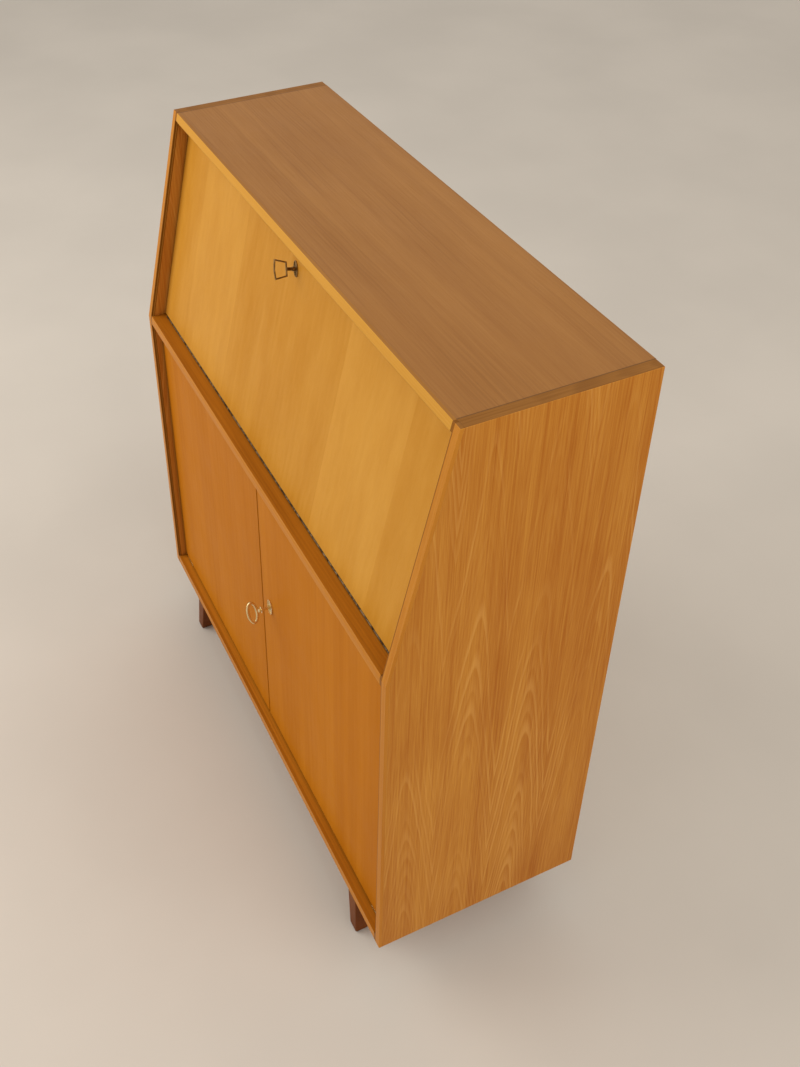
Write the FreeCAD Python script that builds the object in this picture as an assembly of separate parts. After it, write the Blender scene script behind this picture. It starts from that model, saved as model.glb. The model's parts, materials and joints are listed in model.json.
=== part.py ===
"""Secretary desk: a veneered carcass on four splayed legs, with a fall-front writing flap above two doors.

Units are millimetres.  +X points to the right, +Y to the back and +Z up.  The origin is on the floor, in the
middle of the desk's box, which at the front ends at the bow of the door key.
"""
import FreeCAD, Part
import math
import os

Vector = FreeCAD.Vector

# ---------------------------------------------------------------- carcass
desk_width = 940.0
carcass_depth = 350.0
carcass_height = 982.0
leg_height = 108.0
kink_below_top = 377.0          # where the front edge of the sides starts to slope back
top_setback = 82.0              # how far the slope carries the top's front edge back
board = 17.0
shelf_board = 17.0
shelf_above_kink = 6.0          # writing shelf's upper face above the kink
bottom_lift = 1.5               # underside of the bottom panel above the ends of the sides
lipping = 5.0                   # solid strip on each front edge
step_width = 4.0                # shallow step round the inside of the front edges of the sides and the top
step_depth = 3.0
back_board = 4.0
back_rebate = 8.0
edge_round = 0.8                # sanding of the outer edges, the flap and the doors
dowel_radius = 4.0
dowel_in_side = 11.0
dowel_in_panel = 20.0
dowel_from_front = 40.0
dowel_from_back = 40.0

# ---------------------------------------------------------------- flap
flap_recess = 26.0              # outer face behind the shelf's front edge, at the shelf
flap_board = 17.0
flap_side_gap = 1.5
flap_top_gap = 6.0              # lets the top corner pass under the top panel
knuckle_radius = 1.5
hinge_pin_radius = 0.8
leaf_thickness = 0.7
leaf_depth = 13.0
knuckle_pitch = 20.0
knuckle_gap = 0.4
hinge_end_margin = 11.0
hinge_screw_pitch = 145.0
hinge_screw_end_margin = 40.0
hinge_screw_from_axis = 8.0

# ---------------------------------------------------------------- stays
stay_along_flap = 150.0         # pivot on the flap, measured along the flap from its hinge
stay_off_flap = 7.0             # pivot in front of the flap's inner face
stay_guide_angle = 60.0         # guide on the side, as an angle about the flap's hinge
stay_inset = 13.0               # middle of the rod from the side's inner face
rod_height = 8.0
rod_thickness = 3.0
guide_length = 16.0
guide_height = 14.0
guide_thickness = 7.0
guide_hub_radius = 6.0
hub_gap = 0.5                   # between the guide's hub and the stud's plate
rod_side_gap = 1.9              # between the rod and the bracket's ear
stud_radius = 2.5
stud_plate_radius = 14.0
stud_screw_reach = 10.0         # plate screws above and below the stud
stay_plate = 1.5                # thickness of the stud's plate and of the bracket
bracket_foot_width = 13.6
bracket_half_height = 14.0
bracket_ear_half_height = 6.0
bracket_screw_reach = 9.0
stay_pin_radius = 2.0
stay_pin_head = (3.6, 1.2)      # radius, thickness
rod_eye_rim = 1.5
rod_stop = (4.0, 1.4, 2.5)      # length, and how far it stands out sideways and in height

# ---------------------------------------------------------------- doors
door_recess = 16.0
door_board = 17.0
door_gap = 2.0                  # at the sides, the top and the bottom
door_middle_gap = 3.0
pivot_from_edge = 8.0
pivot_from_face = 4.5
pivot_pin_radius = 2.5
pivot_pin_length = 8.0
pivot_plate = (40.0, 9.0, 2.0)  # length, width, thickness
pivot_plate_past_pin = 8.0
pivot_collar_radius = 4.2

# ---------------------------------------------------------------- locks and keys
flap_key_from_edge = 33.0
door_key_from_edge = 32.5
door_key_below_top = 657.0
case_half_width = 28.0
case_below_key = 22.0
case_depth = 11.0
case_wall = 1.4
face_plate_half_length = 34.0
face_plate = 2.0
face_plate_overlap = 2.0        # how far it stands out in front of the case
bolt_half_width = 11.0
bolt_thickness = 3.6
strike_half_length = 28.0
strike_before_bolt = 8.0
strike_past_bolt = 11.0
door_strike_half_length = 24.0
door_strike_before_bolt = 6.0
strike_play = 1.0               # room round the thrown bolt
flap_bolt_travel = 12.0
door_bolt_travel = 9.0
key_radius = 2.4
key_bit_reach = 8.0
key_bit_thickness = 2.2
key_tilt = -31.0                # both keys rest a little turned, their upper side to the left
key_bow_wire = 1.1
key_bow_edge = 0.7              # rounding of the wire's edges
flap_bow_start = 15.0
flap_bow_length = 17.0
flap_bow_inner_width = 19.0
flap_bow_outer_width = 26.5
flap_bow_point = 1.5
door_bow_centre = 31.5
door_bow_half_length = 19.0
door_bow_half_width = 10.4
door_bow_rim = 5.4
door_bow_thickness = 4.0
door_bow_edge = 1.5             # rounding of the ring's edges
key_ball_radius = 3.5
key_ball_from_bow = 1.0
key_collar = (5.6, 1.8)         # radius, length
flap_key_ring = (3.3, 1.6)
flap_key_ring_from_face = 6.0
flap_escutcheon = (6.0, 11.5, 1.4)   # half width, half height, thickness
door_escutcheon = (9.5, 15.0, 2.0)
escutcheon_rim = 1.3

# ---------------------------------------------------------------- inside, behind the flap
inner_floor_board = 17.0
unit_front = 196.0              # front of the pigeonholes behind the carcass front
unit_half_width = 430.0
unit_height = 172.0
unit_board = 8.0
drawer_opening_height = 66.0
drawer_opening_width = 208.0
upper_divider_offset = 140.0
drawer_wall = 6.0
drawer_front = 10.0
drawer_base = 4.0
drawer_play = 0.8
drawer_back_play = 4.0
knob_radius = 7.0
knob_neck_radius = 3.4
knob_foot_radius = 4.5
knob_length = 15.0
knob_dowel = (2.0, 8.0)         # radius, length
stop_strip_depth = 12.0
stop_strip_height = 24.0

# ---------------------------------------------------------------- inside, behind the doors
loose_shelf_board = 16.0
loose_shelf_height = 270.0      # underside above the bottom panel
loose_shelf_play = 1.5
loose_shelf_behind_doors = 24.0
pin_radius = 2.5
pin_half_length = 8.0
pin_behind_doors = 60.0
pin_from_back = 50.0
surface_bolt_radius = 4.0
surface_bolt_length = 76.0
surface_bolt_travel = 11.0
surface_bolt_from_edge = 24.0
surface_bolt_from_face = 7.0
surface_bolt_knob = (3.0, 14.0)      # radius, length
surface_bolt_knob_from_end = 8.0
guide_plate = (9.0, 46.0, 1.5)       # half width, height, thickness
guide_plate_below_top = 6.0
bridge_height = 9.0
bridge_rim = 2.0
bridge_end_margin = 3.0

# ---------------------------------------------------------------- legs
foot_from_side = 92.0
foot_from_front = 6.0
foot_from_back = 18.0
foot_size = 23.0
leg_top_size = 31.0
leg_lean_sideways = 15.0
leg_lean_lengthways = 8.0
leg_plate_size = 44.0
leg_plate_thickness = 2.5
leg_round = 2.5
leg_screw_from_edge = 5.5
leg_stud_radius = 4.0
leg_stud_length = 32.0
glide_radius = 8.0
glide_thickness = 2.0

# Screws: length and radius of the head
board_screw = (14.0, 3.2)
leaf_screw = (12.0, 2.4)
stay_screw = (9.0, 2.4)
leg_screw = (12.0, 2.6)
shank_share = 0.47              # of a screw head's radius
back_screw_margin = 60.0
back_screw_side_margin = 90.0

fit = 0.05                      # running clearance of a pin in its hole
slip = 0.3                      # clearance of a guided part
bury = 0.4                      # how far fused solids run into each other
clear = 1.0                     # how far a cutting tool stands out of what it cuts

# ---------------------------------------------------------------- worked-out positions
key_reach = door_bow_centre + door_bow_half_width
overhang = key_reach - door_recess
front = (overhang - carcass_depth) / 2
back = front + carcass_depth
half_width = desk_width / 2
inner_x = half_width - board
side_foot = leg_height
top = leg_height + carcass_height
kink = top - kink_below_top
slope = top_setback / kink_below_top
lean = math.atan(slope)
shelf_top = kink + shelf_above_kink
shelf_under = shelf_top - shelf_board
bottom_under = side_foot + bottom_lift
bottom_top = bottom_under + board
top_under = top - board
back_face = back - back_board
floor_top = shelf_top + inner_floor_board

hinge_y = front + flap_recess
hinge_z = shelf_top + knuckle_radius + 0.1
flap_length = (top_under - flap_top_gap - hinge_z) / math.cos(lean)
flap_half_width = inner_x - flap_side_gap
flap_edge = hinge_z + knuckle_radius + fit
lock_w = flap_length - flap_key_from_edge

door_front = front + door_recess
door_back = door_front + door_board
door_low = bottom_top + door_gap
door_high = shelf_under - door_gap
door_outer = inner_x - door_gap
door_inner = door_middle_gap / 2
door_key_x = door_inner + door_key_from_edge
door_key_z = top - door_key_below_top
pivot_x = door_outer - pivot_from_edge
pivot_y = door_front + pivot_from_face

unit_y = front + unit_front
loose_shelf_z = bottom_top + loose_shelf_height


# ================================================================ helpers
def box(x0, x1, y0, y1, z0, z1):
    return Part.makeBox(x1 - x0, y1 - y0, z1 - z0, Vector(x0, y0, z0))


def cylinder(centre, axis, radius, length):
    return Part.makeCylinder(radius, length, Vector(*centre), Vector(*axis))


def prism_x(outline, x0, x1):
    """A solid along X whose section is a list of (y, z) corners."""
    corners = [Vector(x0, y, z) for y, z in outline]
    return Part.Face(Part.makePolygon(corners + corners[:1])).extrude(Vector(x1 - x0, 0, 0))


def oval(half_x, half_z, y0, y1):
    """An elliptical plate whose thickness lies along Y."""
    long_half, short_half = max(half_x, half_z), min(half_x, half_z)
    ellipse = Part.Ellipse(Vector(0, 0, 0), long_half, short_half).toShape()
    plate = Part.Face(Part.Wire(ellipse)).extrude(Vector(0, 0, y1 - y0))
    if half_z > half_x:
        plate.rotate(Vector(0, 0, 0), Vector(0, 0, 1), 90)
    plate.rotate(Vector(0, 0, 0), Vector(1, 0, 0), -90)
    plate.translate(Vector(0, y0, 0))
    return plate


def fused(*solids):
    return solids[0].multiFuse(list(solids[1:])).removeSplitter() if len(solids) > 1 else solids[0]


def cut(solid, tools):
    return solid.cut(Part.makeCompound(tools)) if tools else solid


def eased(solid, radius, chosen):
    """The solid with the edges that a test picks out rounded."""
    return solid.makeFillet(radius, [edge for edge in solid.Edges if chosen(edge)])


def shared_faces(edge, tests):
    """How many of some face tests, each a function of a point, hold at both ends of an edge."""
    return sum(all(test(vertex.Point) for vertex in edge.Vertexes) for test in tests)


def mirrored(shape):
    """The same piece on the other side of the desk."""
    return shape.mirror(Vector(0, 0, 0), Vector(1, 0, 0))


def both_sides(shapes):
    return shapes + [mirrored(shape) for shape in shapes]


def front_at(z):
    """Y of the carcass's front line at a height."""
    return front + max(0.0, z - kink) * slope


def tilted(shape):
    """Turns a piece built upright at the flap's hinge into the closed flap's slope, and puts it there."""
    placed = shape.copy()
    placed.rotate(Vector(0, 0, 0), Vector(1, 0, 0), -math.degrees(lean))
    placed.translate(Vector(0, hinge_y, hinge_z))
    return placed


def outside_faces():
    """Tests for a point on the desk's outer right-hand, front, upper, lower and rear faces."""
    return [
        lambda point: abs(point.x - half_width) < fit,
        lambda point: abs(point.y - front_at(point.z)) < fit,
        lambda point: abs(point.z - top) < fit,
        lambda point: abs(point.z - side_foot) < fit,
        lambda point: abs(point.y - back) < fit,
    ]


def on_outer_corner(edge):
    return shared_faces(edge, outside_faces()) > 1


def screw(at, inward, length, head, grow=0.0):
    """A countersunk screw with its head at a point and its shank going inward.  A grown one cuts its hole."""
    shank = head * shank_share
    cone = Part.makeCone(head + grow, shank + grow, head - shank, Vector(*at), Vector(*inward))
    stem = cylinder(at, inward, shank + grow, length + grow)
    return cone.fuse(stem).removeSplitter()


def screws(places, inward, length, head):
    return [screw(at, inward, length, head) for at in places]


def screw_holes(places, inward, length, head):
    return [screw(at, inward, length, head, grow=fit) for at in places]


def spaced(first, last, count):
    return [first + (last - first) * i / (count - 1) for i in range(count)]


# ================================================================ fixings shared by several boards
def dowel_places():
    """Centres of the dowels in the right-hand side's inner face, as (y, z)."""
    rows = [
        (top_under + board / 2, front + top_setback + dowel_from_front),
        (shelf_top - shelf_board / 2, front + dowel_from_front),
        (bottom_under + board / 2, front + dowel_from_front),
    ]
    return [(y, z) for z, near in rows for y in spaced(near, back - dowel_from_back, 3)]


def dowels(grow=0.0):
    length = dowel_in_side + dowel_in_panel
    start = inner_x - dowel_in_panel
    right = [
        cylinder((start - grow, y, z), (1, 0, 0), dowel_radius + grow, length + 2 * grow)
        for y, z in dowel_places()
    ]
    return both_sides(right)


def shelf_pins(grow=0.0):
    start = inner_x - pin_half_length
    length = 2 * pin_half_length + grow
    z = loose_shelf_z - pin_radius
    right = [
        cylinder((start, y, z), (1, 0, 0), pin_radius + grow, length)
        for y in (door_back + pin_behind_doors, back_face - pin_from_back)
    ]
    return both_sides(right)


def back_screw_places():
    """Screws through the back panel into the sides, the top, the shelf and the bottom."""
    side_x = inner_x + back_rebate / 2
    heights = spaced(bottom_top + back_screw_margin, top_under - back_screw_margin, 4)
    places = [(x, back, z) for x in (-side_x, side_x) for z in heights]
    reach = inner_x - back_screw_side_margin
    in_top = (top_under + top - back_rebate) / 2
    for z in (in_top, shelf_top - shelf_board / 2, bottom_under + board / 2):
        places += [(x, back, z) for x in spaced(-reach, reach, 4)]
    return places


def stay_pivot_on_flap():
    """The stay's pivot in the upright flap's own frame, as (v, w)."""
    return flap_board + stay_off_flap, stay_along_flap


def stay_circle():
    """Radius about the hinge and closed angle of the stay's pivot on the flap."""
    v, w = stay_pivot_on_flap()
    return math.hypot(v, w), math.pi / 2 - lean - math.atan2(v, w)


def stay_guide_centre():
    """The guide lies on the circle that the pivot follows, so the rod turns half as far as the flap."""
    radius, _ = stay_circle()
    angle = math.radians(stay_guide_angle)
    return hinge_y + radius * math.cos(angle), hinge_z + radius * math.sin(angle)


def stay_plate_screw_places():
    y, z = stay_guide_centre()
    return [(inner_x - stay_plate, y, z + offset) for offset in (-stud_screw_reach, stud_screw_reach)]


def stay_bracket_screw_places():
    """On the right-hand bracket's foot, in the upright flap's frame."""
    x = inner_x - stay_inset - rod_side_gap - bracket_foot_width / 2 - stay_plate
    offsets = (-bracket_screw_reach, bracket_screw_reach)
    return [(x, flap_board + stay_plate, stay_along_flap + offset) for offset in offsets]


def hinge_screw_xs():
    reach = flap_half_width - hinge_screw_end_margin
    return spaced(-reach, reach, int(2 * reach // hinge_screw_pitch) + 1)


def shelf_leaf_screw_places():
    return [(x, hinge_y + hinge_screw_from_axis, shelf_top + leaf_thickness) for x in hinge_screw_xs()]


def flap_leaf_screw_places():
    return [(x, hinge_y + hinge_screw_from_axis, flap_edge - leaf_thickness) for x in hinge_screw_xs()]


def leg_centres():
    """Foot centre and top centre of each leg, by name, as ((x, y), (x, y))."""
    foot_x = half_width - foot_from_side - foot_size / 2
    front_y = front + foot_from_front + foot_size / 2
    back_y = back - foot_from_back - foot_size / 2
    centres = {}
    for side, sign in (("left", -1), ("right", 1)):
        top_x = sign * (foot_x - leg_lean_sideways)
        centres["front_" + side] = ((sign * foot_x, front_y), (top_x, front_y + leg_lean_lengthways))
        centres["back_" + side] = ((sign * foot_x, back_y), (top_x, back_y - leg_lean_lengthways))
    return centres


def leg_plate_screw_places():
    reach = leg_plate_size / 2 - leg_screw_from_edge
    under = bottom_under - leg_plate_thickness
    corners = [(dx, dy) for dx in (-reach, reach) for dy in (-reach, reach)]
    return [(x + dx, y + dy, under) for _, (x, y) in leg_centres().values() for dx, dy in corners]


# ================================================================ carcass
def side_outline(offset):
    """Outline of a side behind its lipping, or of the whole side when the offset is nothing."""
    return [
        (front + offset, side_foot),
        (front + offset, kink),
        (front + top_setback + offset, top),
        (back, top),
        (back, side_foot),
    ]


def side_panel():
    panel = eased(prism_x(side_outline(lipping), inner_x, half_width), edge_round, on_outer_corner)
    reach = inner_x + back_rebate
    rebate = box(inner_x - clear, reach, back_face, back + clear, side_foot - clear, top - back_rebate)
    tools = [rebate] + dowels(fit) + shelf_pins(fit)
    tools += screw_holes(back_screw_places(), (0, -1, 0), *board_screw)
    tools += screw_holes(stay_plate_screw_places(), (1, 0, 0), *stay_screw)
    return cut(panel, tools)


def front_steps():
    """Cutting tools for the step round the flap's opening and beside the doors."""
    reach = inner_x + step_width
    low, high = shelf_top, top_under + step_width
    outline = [
        (front_at(low) - clear, low),
        (front_at(low) + step_depth, low),
        (front_at(high) + step_depth, high),
        (front_at(high) - clear, high),
    ]
    beside_doors = box(-reach, reach, front - clear, front + step_depth, bottom_top, shelf_under)
    return [prism_x(outline, -reach, reach), beside_doors]


def side_lipping():
    outline = side_outline(0)[:3] + side_outline(lipping)[2::-1]
    strip = eased(prism_x(outline, inner_x, half_width), edge_round, on_outer_corner)
    return cut(strip, front_steps())


def top_panel():
    rear = front + top_setback + lipping
    outline = [
        (rear - slope * board, top_under),
        (rear, top),
        (back, top),
        (back, top - back_rebate),
        (back_face, top - back_rebate),
        (back_face, top_under),
    ]
    panel = prism_x(outline, -inner_x, inner_x)
    tools = dowels(fit) + screw_holes(back_screw_places(), (0, -1, 0), *board_screw)
    return cut(panel, tools + [strike_recess(), strike_pocket()])


def top_lipping():
    face = front + top_setback
    outline = [
        (face - slope * board, top_under),
        (face, top),
        (face + lipping, top),
        (face + lipping - slope * board, top_under),
    ]
    strip = eased(prism_x(outline, -inner_x, inner_x), edge_round, on_outer_corner)
    return cut(strip, front_steps())


def writing_shelf():
    panel = box(-inner_x, inner_x, front + lipping, back_face, shelf_under, shelf_top)
    tools = dowels(fit) + screw_holes(back_screw_places(), (0, -1, 0), *board_screw)
    tools += screw_holes(shelf_leaf_screw_places(), (0, 0, -1), *leaf_screw)
    tools += both_sides([pivot_plate_body(shelf_under, 1, fit)]) + [surface_bolt_hole()]
    return cut(panel, tools)


def shelf_lipping():
    """Its upper corner is planed to the slope of the sides."""
    outline = [
        (front, shelf_under),
        (front, kink),
        (front_at(shelf_top), shelf_top),
        (front + lipping, shelf_top),
        (front + lipping, shelf_under),
    ]
    return prism_x(outline, -inner_x, inner_x)


def bottom_panel():
    panel = box(-inner_x, inner_x, front + lipping, back_face, bottom_under, bottom_top)
    tools = dowels(fit) + screw_holes(back_screw_places(), (0, -1, 0), *board_screw)
    tools += screw_holes(leg_plate_screw_places(), (0, 0, 1), *leg_screw)
    tools += both_sides([pivot_plate_body(bottom_top, -1, fit)])
    return cut(panel, tools)


def bottom_lipping():
    return box(-inner_x, inner_x, front, front + lipping, bottom_under, bottom_top)


def back_panel():
    reach = inner_x + back_rebate
    panel = box(-reach, reach, back_face, back, bottom_under, top - back_rebate)
    return cut(panel, screw_holes(back_screw_places(), (0, -1, 0), *board_screw))


def loose_shelf():
    reach = inner_x - loose_shelf_play
    rear = back_face - loose_shelf_play
    near = door_back + loose_shelf_behind_doors
    return box(-reach, reach, near, rear, loose_shelf_z, loose_shelf_z + loose_shelf_board)


# ================================================================ behind the flap
def flap_inner_at(z):
    """Y of the closed flap's inner face at a height."""
    return hinge_y + flap_board / math.cos(lean) + (z - hinge_z) * slope


def inner_floor():
    near = flap_inner_at(floor_top) + 1.0
    return box(-inner_x, inner_x, near, back_face, shelf_top, floor_top)


def flap_stop_strip():
    """The closed flap rests against its lower front edge."""
    flap_corner = hinge_z + flap_length * math.cos(lean) - flap_board * math.sin(lean)
    near = flap_inner_at(flap_corner) + 0.6
    return box(-inner_x, inner_x, near, near + stop_strip_depth, top_under - stop_strip_height, top_under)


def pigeonhole_end():
    inside = unit_half_width - unit_board
    return box(inside, unit_half_width, unit_y, back_face, floor_top, floor_top + unit_height)


def pigeonhole_board(level):
    reach = unit_half_width - unit_board
    return box(-reach, reach, unit_y, back_face, floor_top + level, floor_top + level + unit_board)


def pigeonhole_dividers():
    drawer_side = unit_half_width - unit_board - drawer_opening_width
    roof = unit_height - unit_board
    left = drawer_side - unit_board
    lower = box(left, drawer_side, unit_y, back_face, floor_top, floor_top + drawer_opening_height)
    upper = box(
        upper_divider_offset,
        upper_divider_offset + unit_board,
        unit_y,
        back_face,
        floor_top + drawer_opening_height + unit_board,
        floor_top + roof,
    )
    return Part.makeCompound(both_sides([lower, upper]))


def drawer_space():
    """The right-hand drawer's outer size, as x and z limits."""
    outer = unit_half_width - unit_board
    inner = outer - drawer_opening_width
    return inner + drawer_play, outer - drawer_play, drawer_opening_height - drawer_play


def drawer_box():
    x0, x1, height = drawer_space()
    low = floor_top + slip
    rear = back_face - drawer_back_play
    body = box(x0, x1, unit_y, rear, low, floor_top + height)
    hollow = box(
        x0 + drawer_wall,
        x1 - drawer_wall,
        unit_y + drawer_front,
        rear - drawer_wall,
        low + drawer_base,
        floor_top + height + clear,
    )
    x, z = drawer_knob_centre()
    radius, length = knob_dowel
    return cut(body, [hollow, cylinder((x, unit_y - clear, z), (0, 1, 0), radius + fit, length + clear)])


def drawer_knob_centre():
    x0, x1, height = drawer_space()
    return (x0 + x1) / 2, floor_top + height / 2


def drawer_knob():
    x, z = drawer_knob_centre()
    neck = knob_length / 3
    foot = Part.makeCone(knob_foot_radius, knob_neck_radius, neck, Vector(0, 0, 0))
    head = Part.makeCone(knob_neck_radius, knob_radius, neck, Vector(0, 0, neck))
    cap = cylinder((0, 0, 2 * neck), (0, 0, 1), knob_radius, neck)
    cap = eased(cap, neck / 3, lambda edge: edge.Vertexes[0].Z > 2.5 * neck and edge.Length > knob_radius * 4)
    knob = fused(foot, head, cap)
    knob.rotate(Vector(0, 0, 0), Vector(1, 0, 0), 90)
    knob.translate(Vector(x, unit_y, z))
    radius, length = knob_dowel
    return fused(knob, cylinder((x, unit_y - bury, z), (0, 1, 0), radius, length + bury))


# ================================================================ locks, keys and escutcheons
# A lock is built upright: the key's axis runs along Y through the origin, Y = 0 is the outer face of the flap
# or door, +Y goes into the wood, and the bolt leaves along +Z.
def keyhole(y0, y1):
    half = key_bit_thickness / 2 + slip
    slot = box(-half, half, y0, y1, -key_bit_reach - slip, 0)
    return fused(cylinder((0, y0, 0), (0, 1, 0), key_radius + slip, y1 - y0), slot)


def case_front(thickness):
    """Y of the lock case's front wall in a board of a thickness."""
    return thickness - case_depth


def bolt_front(thickness):
    return case_front(thickness) + case_wall + slip


def case_body(edge, thickness, grow=0.0):
    y0 = case_front(thickness) - grow
    half = case_half_width + grow
    body = box(-half, half, y0, thickness, -case_below_key - grow, edge)
    half = face_plate_half_length + grow
    plate = box(-half, half, y0 - face_plate_overlap, thickness, edge - face_plate, edge)
    return fused(body, plate)


def bolt_slot(edge, thickness, grow, above):
    y0 = bolt_front(thickness)
    half = bolt_half_width + grow
    return box(-half, half, y0 - grow, y0 + bolt_thickness + grow, edge - face_plate - clear, edge + above)


def lock_case(edge, thickness):
    y0 = case_front(thickness)
    hollow = box(
        -case_half_width + case_wall,
        case_half_width - case_wall,
        y0 + case_wall,
        thickness - case_wall,
        -case_below_key + case_wall,
        edge - face_plate,
    )
    opening = keyhole(y0 - clear, y0 + case_wall + clear)
    return cut(case_body(edge, thickness), [hollow, bolt_slot(edge, thickness, slip, clear), opening])


def lock_bolt(edge, thickness, travel):
    """A flat bolt with a long slot that the key's stem passes through."""
    y0 = bolt_front(thickness)
    low = -case_below_key + case_wall + slip
    body = box(-bolt_half_width, bolt_half_width, y0, y0 + bolt_thickness, low, edge - slip)
    half = key_radius + slip
    slot = box(-half, half, y0 - clear, y0 + bolt_thickness + clear, -travel - half, half)
    return cut(body, [slot])


def key_stem(start, thickness):
    """The stem from the bow to inside the lock, with its bit behind the bolt."""
    end = thickness - case_wall - slip
    bit_front = bolt_front(thickness) + bolt_thickness + slip
    stem = cylinder((0, -start, 0), (0, 1, 0), key_radius, start + end)
    half = key_bit_thickness / 2
    return [stem, box(-half, half, bit_front, end, -key_bit_reach, -key_radius / 2)]


def flap_key():
    """A wire bow in an open trapezoid, wider outside and slightly pointed."""
    y_in = -flap_bow_start
    y_out = y_in - flap_bow_length
    half_in = flap_bow_inner_width / 2
    half_out = flap_bow_outer_width / 2
    corners = [
        Vector(-key_bow_wire, y_in, half_in),
        Vector(-key_bow_wire, y_out, half_out),
        Vector(-key_bow_wire, y_out - flap_bow_point, 0),
        Vector(-key_bow_wire, y_out, -half_out),
        Vector(-key_bow_wire, y_in, -half_in),
    ]
    line = Part.makePolygon(corners + corners[:1])
    faces = [Part.Face(line.makeOffset2D(reach, 2)) for reach in (key_bow_wire, -key_bow_wire)]
    frame = faces[0].cut(faces[1]).extrude(Vector(2 * key_bow_wire, 0, 0))
    long_edges = [edge for edge in frame.Edges if abs(edge.Vertexes[0].X - edge.Vertexes[-1].X) < fit]
    bow = frame.makeFillet(key_bow_edge, long_edges)
    ring = cylinder((0, -flap_key_ring_from_face, 0), (0, 1, 0), *flap_key_ring)
    return fused(*key_stem(flap_bow_start, flap_board), bow, ring)


def door_key():
    """A turned key with a broad oval ring for a bow, a ball and a collar."""
    half = door_bow_thickness / 2
    blank = oval(door_bow_half_width, door_bow_half_length, -half, half)
    hole_size = door_bow_half_width - door_bow_rim, door_bow_half_length - door_bow_rim
    ring = blank.cut(oval(*hole_size, -half - clear, half + clear))
    ring = eased(ring, door_bow_edge, lambda edge: edge.Length > door_bow_thickness + clear)
    ring.rotate(Vector(0, 0, 0), Vector(0, 0, 1), 90)
    ring.translate(Vector(0, -door_bow_centre, 0))
    near = door_bow_centre - door_bow_half_width
    ball_y = key_ball_from_bow - near
    ball = Part.makeSphere(key_ball_radius, Vector(0, ball_y, 0))
    collar = cylinder((0, ball_y + key_ball_radius - bury, 0), (0, 1, 0), *key_collar)
    return fused(*key_stem(near + door_bow_rim / 2, door_board), ring, ball, collar)


def escutcheon(half_x, half_z, thickness):
    """An oval plate with a raised rim and a keyhole."""
    plate = oval(half_x, half_z, -thickness, 0)
    dish = oval(half_x - escutcheon_rim, half_z - escutcheon_rim, -thickness - clear, -thickness / 2)
    return cut(plate, [dish, keyhole(-thickness - clear, clear)])


def turned(shape):
    """A key piece at the angle that it rests at."""
    shape.rotate(Vector(0, 0, 0), Vector(0, 1, 0), key_tilt)
    return shape


def on_flap(shape):
    """An upright lock piece moved to the flap's keyhole."""
    placed = shape.copy()
    placed.translate(Vector(0, 0, lock_w))
    return tilted(placed)


def on_door(shape):
    """An upright lock piece turned so that its bolt leaves to the left, at the right-hand door's keyhole."""
    placed = shape.copy()
    placed.rotate(Vector(0, 0, 0), Vector(0, 1, 0), -90)
    placed.translate(Vector(door_key_x, door_front, door_key_z))
    return placed


def at_door_keyhole(shape):
    """A key or plate that stands upright at the right-hand door's keyhole."""
    placed = shape.copy()
    placed.translate(Vector(door_key_x, door_front, door_key_z))
    return placed


def key_swept_hole(thickness):
    """Room for the stem and for the bit at the key's resting angle, through the wood in front of the case."""
    end = case_front(thickness) + clear
    stem = cylinder((0, -clear, 0), (0, 1, 0), key_radius + slip, end + clear)
    return fused(stem, turned(keyhole(-clear, end)))


def strike_pocket():
    """Room for the thrown flap bolt in the top panel and its strike plate."""
    return on_flap(bolt_slot(flap_key_from_edge, flap_board, strike_play, flap_bolt_travel + 2 * clear))


def strike_recess():
    v = bolt_front(flap_board) + bolt_thickness / 2
    y = hinge_y + flap_length * math.sin(lean) + v * math.cos(lean)
    near = y - strike_before_bolt
    far = y + strike_past_bolt
    return box(-strike_half_length, strike_half_length, near, far, top_under, top_under + face_plate)


def flap_strike_plate():
    return cut(strike_recess(), [strike_pocket()])


def door_strike_pocket():
    return on_door(bolt_slot(door_key_from_edge, door_board, strike_play, door_middle_gap + door_bolt_travel))


def door_strike_recess():
    y = door_front + bolt_front(door_board) + bolt_thickness / 2
    near = y - door_strike_before_bolt
    low = door_key_z - door_strike_half_length
    high = door_key_z + door_strike_half_length
    return box(-door_inner - face_plate, -door_inner, near, door_back, low, high)


def door_strike_plate():
    return cut(door_strike_recess(), [door_strike_pocket()])


# ================================================================ flap and its piano hinge
def flap_panel():
    """Its lower edge is level and its upper edge is square to its faces."""
    low = -flap_board * math.tan(lean)
    outline = [(0, low), (0, flap_length), (flap_board, flap_length), (flap_board, low)]
    blank = prism_x(outline, -flap_half_width, flap_half_width)
    rim = [
        lambda point: abs(point.x) > flap_half_width - fit,
        lambda point: abs(point.z - flap_length) < fit,
        lambda point: abs(point.y) < fit,
    ]
    panel = tilted(eased(blank, edge_round, lambda edge: shared_faces(edge, rim) > 1))
    below = box(-half_width, half_width, front, back, hinge_z + 2 * low, flap_edge)
    lock = case_body(flap_key_from_edge, flap_board, fit)
    tools = [below, on_flap(lock), on_flap(key_swept_hole(flap_board))]
    tools += screw_holes(flap_leaf_screw_places(), (0, 0, 1), *leaf_screw)
    bracket_holes = screw_holes(stay_bracket_screw_places(), (0, -1, 0), *stay_screw)
    return cut(panel, tools + [tilted(hole) for hole in both_sides(bracket_holes)])


def knuckle_spans(turn):
    """X limits of every second knuckle, starting with the first or with the second."""
    reach = flap_half_width - hinge_end_margin
    count = int(2 * reach // knuckle_pitch)
    start = -count * knuckle_pitch / 2
    gap = knuckle_gap / 2
    lows = [start + i * knuckle_pitch for i in range(turn, count, 2)]
    return [(low + gap, low + knuckle_pitch - gap) for low in lows]


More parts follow.
